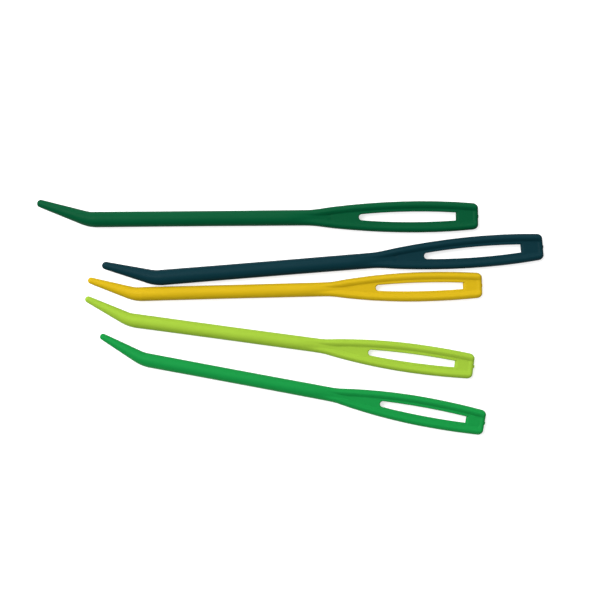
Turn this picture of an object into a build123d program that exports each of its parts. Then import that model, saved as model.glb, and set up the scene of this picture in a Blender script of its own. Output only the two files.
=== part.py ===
from build123d import *
from math import asin, cos, degrees, radians, sin, sqrt, tan
import os

# A set of five loose plastic yarn needles with bent tips, lying side by side, in millimetres.
# The set lies on z = 0, with X along the needles towards their eyes and Y across them.
# A needle is drawn in its own frame: the origin is where the tip's axis meets the shaft's axis,
# +X runs along the shaft to the butt, +Y is the side the tip bends to, z = 0 is the parting plane.


class LongNeedle:
    """Sizes of the longer pattern, the forest green and the dark teal needle."""

    # Tip, bend and shaft
    tip_length = 18.75
    tip_end_radius = 1.34
    tip_root_radius = 2.42
    bend_radius = 12.6
    shaft_length = 66.0
    shaft_radius = 2.61
    shaft_end_radius = 2.66
    # The lens-shaped head: a flat web between two round rails, which rise out of the shaft's end
    # over the groove's ramp, while the outline starts to swell a little farther back
    head_length = 66.1
    length = shaft_length + head_length
    groove_ramp = 16.6
    swell_start = 9.1
    widest_to_butt = 19.9
    head_width = 10.7
    butt_width = 8.7
    rail_width = 2.86
    rail_height = 3.4
    web_thickness = 1.95
    # The eye
    eye_length = 32.9
    eye_to_butt = 7.6
    eye_width = 3.6
    eye_front_width = 2.1
    eye_back_width = 2.7


class ShortNeedle:
    """Sizes of the shorter pattern, the yellow, the lime green and the emerald green needle."""

    # Tip, bend and shaft
    tip_length = 16.8
    tip_end_radius = 1.12
    tip_root_radius = 2.15
    bend_radius = 12.6
    shaft_length = 57.2
    shaft_radius = 2.35
    shaft_end_radius = 2.4
    # The head, as on the longer pattern
    head_length = 60.8
    length = shaft_length + head_length
    groove_ramp = 14.9
    swell_start = 9.1
    widest_to_butt = 19.7
    head_width = 10.0
    butt_width = 8.4
    rail_width = 2.75
    rail_height = 3.2
    web_thickness = 1.85
    # The eye
    eye_length = 29.6
    eye_to_butt = 6.5
    eye_width = 2.9
    eye_front_width = 2.0
    eye_back_width = 2.15


# Sizes that both patterns share
bend_angle = 18.6
swell_softness = 0.25
flank_width = 1.5
corner_radius = 1.7
end_rounding = 0.9
rim_rise = 0.15
rim_run = 0.6
eye_edge_radius = 0.35
eye_back_rounding = 1.3
gate_radius = 0.5
mesh_tolerance = 0.02

# How many sections each stretch of the head is lofted through
ramp_steps, lens_steps, corner_steps = 10, 8, 5
# The web's edges on the shaft's round section, in degrees round it from the needle's sides
web_turn = 70
# The widest that a flank may get, as a share of the way from the crest to the middle
flank_limit_share = 0.9
# How far round the butt's edges turn before its small flat end
end_share = 0.95
# The height of the round nose behind the eye, as a share of the web's
nose_share = 1.05

# The row, from its far side to its near side: how far each needle's bend lies along X from that
# of the needle before, and the clear gap between the two at their bends and at their heads
forest_head_drift = 0.96
teal_stagger, teal_bend_gap, teal_head_gap = 22.45, 14.54, 1.05
yellow_stagger, yellow_bend_gap, yellow_head_gap = -6.96, 0.466, 1.7
lime_stagger, lime_bend_gap, lime_head_gap = -1.87, 3.94, 14.5
emerald_stagger, emerald_bend_gap, emerald_head_gap = 4.68, 8.61, 8.25

# The stub that the mould's gate left at each butt
forest_gate_stub = 0.12
teal_gate_stub = 0.15
yellow_gate_stub = 0.1
lime_gate_stub = 0.3
emerald_gate_stub = 0.2


def smooth_step(share):
    """A share from 0 to 1 that starts and ends level."""
    share = min(1, max(0, share))
    return share * share * (3 - 2 * share)


def disc(centre, direction, radius):
    """A round section across the needle."""
    return Plane(origin=centre, x_dir=(0, 0, 1), z_dir=direction) * Circle(radius)


def bend_tangent(size):
    """How far from the bend point the bend's arc starts and ends."""
    return size.bend_radius * tan(radians(bend_angle / 2))


def tip(size):
    """The tapered tip with its round end, on the line that slants from the bend."""
    run = size.tip_length - bend_tangent(size) - size.tip_end_radius
    taper = asin((size.tip_root_radius - size.tip_end_radius) / run)
    touch = Vector(-sin(taper), cos(taper)) * size.tip_end_radius
    nose, root = (-size.tip_end_radius, 0), (run, size.tip_root_radius)
    outline = [
        RadiusArc(nose, touch, size.tip_end_radius),
        Line(touch, root),
        Line(root, (run, 0)),
        Line((run, 0), nose),
    ]
    cone = revolve(make_face(Wire(outline)), Axis.X)
    return Rot(0, 0, -bend_angle) * Pos(-run - bend_tangent(size), 0, 0) * cone


def bend(size):
    """The bend, which swells from the tip's root to the shaft."""
    arc_centre = Vector(bend_tangent(size), size.bend_radius, 0)
    sections = []
    for share in (0, 1 / 3, 2 / 3, 1):
        turn = radians(bend_angle) * (1 - share)
        radius = size.tip_root_radius + (size.shaft_end_radius - size.tip_root_radius) * share
        centre = arc_centre - Vector(sin(turn), cos(turn), 0) * size.bend_radius
        sections.append(disc(centre, Vector(cos(turn), -sin(turn), 0), radius))
    return loft(sections)


def shaft(size):
    """The round shaft from the bend to the head, slightly waisted."""
    start, end = bend_tangent(size), size.shaft_length
    outline = [
        Line((start, 0), (start, size.shaft_end_radius)),
        ThreePointArc(
            (start, size.shaft_end_radius),
            ((start + end) / 2, size.shaft_radius),
            (end, size.shaft_end_radius),
        ),
        Line((end, size.shaft_end_radius), (end, 0)),
        Line((end, 0), (start, 0)),
    ]
    return revolve(make_face(Wire(outline)), Axis.X)


def head_half_width(size, x):
    """Half the head's width at x: the shaft's, which turns softly into two parabolas."""
    widest = size.length - size.widest_to_butt
    middle = size.head_width / 2
    if x > widest:
        drop = middle - size.butt_width / 2
        return middle - drop * ((x - widest) / size.widest_to_butt) ** 2
    swell_length = widest - size.shaft_length - size.swell_start
    drop = middle - size.shaft_end_radius
    gain = drop - drop * ((widest - x) / swell_length) ** 2
    return size.shaft_end_radius + (gain + sqrt(gain ** 2 + swell_softness ** 2)) / 2


def left_by_rounding(size, x, radius):
    """How much of a size is left at x where the butt's end is rounded by radius."""
    into = end_share * min(1, max(0, (x - size.length + radius) / radius))
    return sqrt(1 - into ** 2)


def side_points(size, x):
    """Points up a rail's outside, over its crest and down its inner flank to the web, at x."""
    rail_half = size.rail_width / 2
    crest = head_half_width(size, x) - rail_half
    reach = rail_half - corner_radius * (1 - left_by_rounding(size, x, corner_radius))
    rim = rim_rise * smooth_step((x - size.length + corner_radius) / rim_run)
    flat = left_by_rounding(size, x, end_rounding)
    top, floor = size.rail_height / 2 * flat, (size.web_thickness / 2 + rim) * flat
    flank = min(flank_width, crest * flank_limit_share)
    points = []
    for turn in (0, 22.5, 45, 67.5, 90):
        points.append(Vector(crest + reach * cos(radians(turn)), top * sin(radians(turn))))
    for share in (1 / 3, 2 / 3, 1):
        points.append(Vector(crest - flank * share, top - (top - floor) * smooth_step(share)))
    return points


def section(size, x):
    """The head's section at x, which the groove's ramp turns from the shaft's round to its own."""
    ramp = smooth_step((x - size.shaft_length) / size.groove_ramp)
    radius, web_angle = size.shaft_end_radius, radians(web_turn)
    own = side_points(size, x)
    side = []
    for step, point in enumerate(own):
        turn = web_angle * step / (len(own) - 1)
        on_round = Vector(cos(turn), sin(turn)) * radius
        side.append(on_round + (point - on_round) * ramp)
    foot = side[-1]
    far_foot = Vector(-foot.X, foot.Y)
    slope = Vector(-sin(web_angle), cos(web_angle)) * (1 - ramp) - Vector(1, 0) * ramp
    if ramp == 0:
        middle = Vector(cos(web_angle / 2), sin(web_angle / 2)) * radius
        edge = ThreePointArc(side[0], middle, foot)
        top = ThreePointArc(foot, (0, radius), far_foot)
    elif ramp == 1:
        edge = Spline(*side, tangents=((0, 1), slope))
        top = Line(foot, far_foot)
    else:
        height = radius + (own[-1].Y - radius) * ramp
        edge = Spline(*side, tangents=((0, 1), slope))
        top = Spline(foot, (0, height), far_foot, tangents=(slope, (slope.X, -slope.Y)))
    upper = edge + top + mirror(edge, about=Plane.YZ)
    across = Plane(origin=(x, 0, 0), x_dir=(0, 1, 0), z_dir=(1, 0, 0))
    return across * make_face(upper + mirror(upper, about=Plane.XZ))


def stretch(size, start, end, steps):
    """The head from start to end, through evenly spaced sections."""
    return loft([section(size, start + (end - start) * step / steps) for step in range(steps + 1)])


def butt(size):
    """The butt's rounded corners and edges."""
    sections = []
    for step in range(corner_steps + 1):
        turned = sin(asin(end_share) * step / corner_steps) / end_share
        sections.append(section(size, size.length - corner_radius * (1 - turned)))
    return loft(sections)


def eye_opening(size):
    """What the eye takes out of the web, down to the round nose at its back end."""
    front_half, back_half = size.eye_front_width / 2, size.eye_back_width / 2
    back = size.length - size.eye_to_butt
    front = back - size.eye_length
    shoulder = front + front_half
    widest = size.length - size.widest_to_butt
    end = back + eye_back_rounding
    outline = [
        ThreePointArc((shoulder, -front_half), (front, 0), (shoulder, front_half)),
        ThreePointArc((shoulder, front_half), (widest, size.eye_width / 2), (back, back_half)),
        Line((back, back_half), (end, back_half)),
        Line((end, back_half), (end, -back_half)),
        Line((end, -back_half), (back, -back_half)),
        ThreePointArc((back, -back_half), (widest, -size.eye_width / 2), (shoulder, -front_half)),
    ]
    slot = extrude(make_face(Wire(outline)), size.rail_height, both=True)
    upright = Plane(origin=(end, 0, 0), x_dir=(1, 0, 0), z_dir=(0, -1, 0))
    nose = upright * Ellipse(eye_back_rounding, size.web_thickness / 2 * nose_share)
    return slot - extrude(nose, size.eye_width, both=True)


def lens(size):
    """The stretch of the head that holds the eye, with the eye's edges rounded."""
    start, end = size.shaft_length + size.groove_ramp, size.length - corner_radius
    holed = stretch(size, start, end, lens_steps) - eye_opening(size)
    inside = size.eye_width / 2 + eye_edge_radius
    lips = []
    for edge in holed.edges():
        middle = edge.position_at(0.5)
        if abs(middle.Y) < inside and start < middle.X < end:
            if abs(edge.tangent_at(0.5).Z) < abs(middle.Z):
                lips.append(edge)
    return fillet(lips, eye_edge_radius)


def head(size):
    """The head: the ramp where the groove deepens, the lens with the eye, and the butt."""
    ramp = stretch(size, size.shaft_length, size.shaft_length + size.groove_ramp, ramp_steps)
    return ramp + lens(size) + butt(size)


def needle(size):
    """One moulded needle in its own frame, without its gate's stub."""
    return tip(size) + bend(size) + shaft(size) + head(size)


def gate(size, stub):
    """The stub that stands out of the middle of the butt."""
    start = Plane(origin=(size.length - gate_radius, 0, 0), z_dir=(1, 0, 0))
    return extrude(start * Circle(gate_radius), gate_radius + stub)


def heading(size, rise):
    """The direction, in degrees, that lifts the head's widest place by rise along Y."""
    return degrees(asin(rise / (size.length - size.widest_to_butt)))


def lay_row():
    """Each needle's name, pattern, gate stub, bend point and heading, along the row."""
    teal = ("dark_teal_needle", LongNeedle, teal_gate_stub)
    yellow = ("yellow_needle", ShortNeedle, yellow_gate_stub)
    lime = ("lime_green_needle", ShortNeedle, lime_gate_stub)
    emerald = ("emerald_green_needle", ShortNeedle, emerald_gate_stub)
    followers = (
        (teal, teal_stagger, teal_bend_gap, teal_head_gap),
        (yellow, yellow_stagger, yellow_bend_gap, yellow_head_gap),
        (lime, lime_stagger, lime_bend_gap, lime_head_gap),
        (emerald, emerald_stagger, emerald_bend_gap, emerald_head_gap),
    )
    x, bend_y, head_y, before = 0, 0, forest_head_drift, LongNeedle
    row = [("forest_green_needle", before, forest_gate_stub, x, bend_y, heading(before, head_y))]
    for (name, size, gate_stub), stagger, bend_gap, head_gap in followers:
        x += stagger
        bend_y -= before.shaft_end_radius + bend_gap + size.shaft_end_radius
        head_y -= before.head_width / 2 + head_gap + size.head_width / 2
        row.append((name, size, gate_stub, x, bend_y, heading(size, head_y - bend_y)))
        before = size
    return row


def main():
    os.makedirs("parts", exist_ok=True)
    moulded = {size: needle(size) for size in (LongNeedle, ShortNeedle)}
    placed = {}
    for name, size, gate_stub, x, y, turn in lay_row():
        lying = Pos(x, y, size.shaft_end_radius) * Rot(0, 0, turn)
        placed[name] = lying * (moulded[size] + gate(size, gate_stub))
    points = [point for shape in placed.values() for point in shape.tessellate(mesh_tolerance)[0]]
    middle_x = (min(point.X for point in points) + max(point.X for point in points)) / 2
    middle_y = (min(point.Y for point in points) + max(point.Y for point in points)) / 2
    for name, shape in placed.items():
        export_step(Pos(-middle_x, -middle_y, 0) * shape, f"parts/{name}.step")


main()
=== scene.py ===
import bpy
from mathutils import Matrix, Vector


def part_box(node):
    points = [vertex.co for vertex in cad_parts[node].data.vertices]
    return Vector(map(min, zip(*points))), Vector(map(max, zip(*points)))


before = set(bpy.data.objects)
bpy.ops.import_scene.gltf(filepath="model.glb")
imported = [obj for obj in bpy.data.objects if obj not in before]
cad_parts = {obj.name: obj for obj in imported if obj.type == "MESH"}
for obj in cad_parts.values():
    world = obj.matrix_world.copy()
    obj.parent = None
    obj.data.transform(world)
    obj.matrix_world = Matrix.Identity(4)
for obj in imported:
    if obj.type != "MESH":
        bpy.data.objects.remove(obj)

# Everything is in metres, in the frame of the set: X along the needles, Y across the row, Z up.
MM = 0.001

# The photograph's frame: 600 pixels show this width at the height of the needles' axes.
PHOTO_WIDTH = 204 * MM
PHOTO_CENTRE = Vector((3.32 * MM, 5.86 * MM, 0))
CAMERA_HEIGHT = 0.8
SENSOR_WIDTH = 36.0

# The plastics, as linear red, green and blue
COLOURS = {
    "forest_green_needle": (0.0002, 0.0499, 0.0171),
    "dark_teal_needle": (0.0016, 0.0179, 0.0243),
    "yellow_needle": (0.3660, 0.2430, 0.0043),
    "lime_green_needle": (0.1980, 0.3150, 0.0247),
    "emerald_green_needle": (0.0043, 0.1653, 0.0315),
}
REFRACTIVE_INDEX = 1.49
SPECULAR_LEVEL = 0.03

# The fine grain left by the mould. From low to high, its noise takes the plastic from its
# smoothest to its roughest.
GRAIN_SCALE = 2600.0
GRAIN_DETAIL = 3.0
GRAIN_ROUGHNESS = 0.6
GRAIN_LOW, GRAIN_HIGH = 0.3, 0.7
GRAIN_DEPTH = 0.012 * MM
GRAIN_STRENGTH = 0.35
SMOOTHEST, ROUGHEST = 0.38, 0.50

# Flow streaks, drawn out along the needles, which make the colour darker or lighter
STREAK_SCALE = (60.0, 420.0, 420.0)
STREAK_DETAIL = 4.0
STREAK_ROUGHNESS = 0.55
DARKEST, LIGHTEST = 0.93, 1.07

# The parting line round each needle: a low ridge, full height within the first distance of the
# parting plane, and gone at the second
SEAM_TOP = 0.02 * MM
SEAM_FOOT = 0.09 * MM
SEAM_DEPTH = 0.05 * MM
SEAM_STRENGTH = 0.8

WHITE = (1, 1, 1, 1)
FLOOR_SIZE = 20.0
FLOOR_COLOUR = (0.5, 0.5, 0.5, 1)
FLOOR_ROUGHNESS = 0.9
FLOOR_GLOW = 0.65

# Each softbox's place, side and power in watts
SOFTBOXES = {
    "key": ((-0.5, 0.35, 0.9), 0.8, 20.0),
    "side": ((0.0, 1.0, 0.5), 0.5, 4.5),
}

# The fill's strength at the horizon and overhead
FILL_LOW, FILL_HIGH = 0.3, 0.7


def node_maker(tree):
    """Gives a function that adds a node to the tree."""

    def make(kind, settings=None, **inputs):
        """Adds a node of a kind, with its settings and its unlinked inputs."""
        node = tree.nodes.new(kind)
        for name, value in (settings or {}).items():
            setattr(node, name, value)
        for name, value in inputs.items():
            node.inputs[name.replace("_", " ")].default_value = value
        return node

    return make


def moulded_plastic(name, colour, parting_height):
    """Satin moulded plastic: a fine grain from the mould, faint flow streaks, and a parting line."""
    material = bpy.data.materials.new(name)
    material.use_nodes = True
    tree = material.node_tree
    tree.nodes.clear()
    make, link = node_maker(tree), tree.links.new

    out = make("ShaderNodeOutputMaterial")
    shader = make("ShaderNodeBsdfPrincipled", IOR=REFRACTIVE_INDEX, Specular_IOR_Level=SPECULAR_LEVEL)
    link(shader.outputs["BSDF"], out.inputs["Surface"])
    place = make("ShaderNodeTexCoord")

    grain = make("ShaderNodeTexNoise",
                 Scale=GRAIN_SCALE, Detail=GRAIN_DETAIL, Roughness=GRAIN_ROUGHNESS)
    link(place.outputs["Object"], grain.inputs["Vector"])
    stretch = make("ShaderNodeMapping", Scale=STREAK_SCALE)
    link(place.outputs["Object"], stretch.inputs["Vector"])
    streaks = make("ShaderNodeTexNoise", Scale=1.0, Detail=STREAK_DETAIL, Roughness=STREAK_ROUGHNESS)
    link(stretch.outputs["Vector"], streaks.inputs["Vector"])

    # Colour, with its streaks
    shade = make("ShaderNodeMapRange", To_Min=DARKEST, To_Max=LIGHTEST)
    link(streaks.outputs["Fac"], shade.inputs["Value"])
    tint = make("ShaderNodeVectorMath", {"operation": "SCALE"})
    tint.inputs[0].default_value = colour
    link(shade.outputs["Result"], tint.inputs["Scale"])
    link(tint.outputs["Vector"], shader.inputs["Base Color"])

    # Roughness, from the grain
    gloss = make("ShaderNodeMapRange",
                 From_Min=GRAIN_LOW, From_Max=GRAIN_HIGH, To_Min=SMOOTHEST, To_Max=ROUGHEST)
    link(grain.outputs["Fac"], gloss.inputs["Value"])
    link(gloss.outputs["Result"], shader.inputs["Roughness"])

    # The seam's height, from the distance above or below the parting plane
    split = make("ShaderNodeSeparateXYZ")
    link(place.outputs["Object"], split.inputs["Vector"])
    off = make("ShaderNodeMath", {"operation": "SUBTRACT"})
    off.inputs[1].default_value = parting_height
    link(split.outputs["Z"], off.inputs[0])
    away = make("ShaderNodeMath", {"operation": "ABSOLUTE"})
    link(off.outputs[0], away.inputs[0])
    seam = make("ShaderNodeMapRange", {"interpolation_type": "SMOOTHSTEP"},
                From_Min=SEAM_TOP, From_Max=SEAM_FOOT, To_Min=1.0, To_Max=0.0)
    link(away.outputs[0], seam.inputs["Value"])

    # Relief: the grain, and the seam on top of it
    rough = make("ShaderNodeBump", Strength=GRAIN_STRENGTH, Distance=GRAIN_DEPTH)
    link(grain.outputs["Fac"], rough.inputs["Height"])
    ridge = make("ShaderNodeBump", Strength=SEAM_STRENGTH, Distance=SEAM_DEPTH)
    link(seam.outputs["Result"], ridge.inputs["Height"])
    link(rough.outputs["Normal"], ridge.inputs["Normal"])
    link(ridge.outputs["Normal"], shader.inputs["Normal"])
    return material


def dress_needles():
    """Gives every needle its own plastic, parted at half its height."""
    for node, colour in COLOURS.items():
        low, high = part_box(node)
        plastic = moulded_plastic(node + "_plastic", colour, (low.z + high.z) / 2)
        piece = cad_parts[node]
        piece.data.materials.clear()
        piece.data.materials.append(plastic)


def floor():
    """A plain white surface under the needles, with a slight glow of its own."""
    bpy.ops.mesh.primitive_plane_add(size=FLOOR_SIZE, location=(0, 0, 0))
    plane = bpy.context.object
    plane.name = "floor"
    material = bpy.data.materials.new("floor_white")
    material.use_nodes = True
    shader = material.node_tree.nodes["Principled BSDF"]
    shader.inputs["Base Color"].default_value = FLOOR_COLOUR
    shader.inputs["Roughness"].default_value = FLOOR_ROUGHNESS
    shader.inputs["Emission Color"].default_value = WHITE
    shader.inputs["Emission Strength"].default_value = FLOOR_GLOW
    plane.data.materials.append(material)


def softbox(name, place, size, power):
    """A square area light that faces the middle of the row."""
    light = bpy.data.lights.new(name, "AREA")
    light.shape = "SQUARE"
    light.size = size
    light.energy = power
    box = bpy.data.objects.new(name, light)
    box.location = place
    box.rotation_euler = (-Vector(place)).to_track_quat("-Z", "Y").to_euler()
    bpy.context.scene.collection.objects.link(box)


def studio():
    """Soft light from the far side of the row, and a fill that grows towards the top."""
    for name, (place, size, power) in SOFTBOXES.items():
        softbox(name, place, size, power)
    world = bpy.data.worlds.new("studio")
    world.use_nodes = True
    tree = world.node_tree
    make, link = node_maker(tree), tree.links.new
    direction = make("ShaderNodeTexCoord")
    split = make("ShaderNodeSeparateXYZ")
    link(direction.outputs["Generated"], split.inputs["Vector"])
    climb = make("ShaderNodeMapRange", To_Min=FILL_LOW, To_Max=FILL_HIGH)
    link(split.outputs["Z"], climb.inputs["Value"])
    background = tree.nodes["Background"]
    link(climb.outputs["Result"], background.inputs["Strength"])
    background.inputs["Color"].default_value = WHITE
    bpy.context.scene.world = world


def camera():
    """Straight above the photograph's centre, with its field of view."""
    axis_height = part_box("forest_green_needle")[1].z / 2
    lens = bpy.data.cameras.new("photo_camera")
    lens.sensor_width = SENSOR_WIDTH
    lens.lens = SENSOR_WIDTH * (CAMERA_HEIGHT - axis_height) / PHOTO_WIDTH
    eye = bpy.data.objects.new("photo_camera", lens)
    eye.location = PHOTO_CENTRE + Vector((0, 0, CAMERA_HEIGHT))
    bpy.context.scene.collection.objects.link(eye)
    bpy.context.scene.camera = eye
    bpy.context.scene.view_settings.view_transform = "Standard"


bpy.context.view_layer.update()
dress_needles()
floor()
studio()
camera()
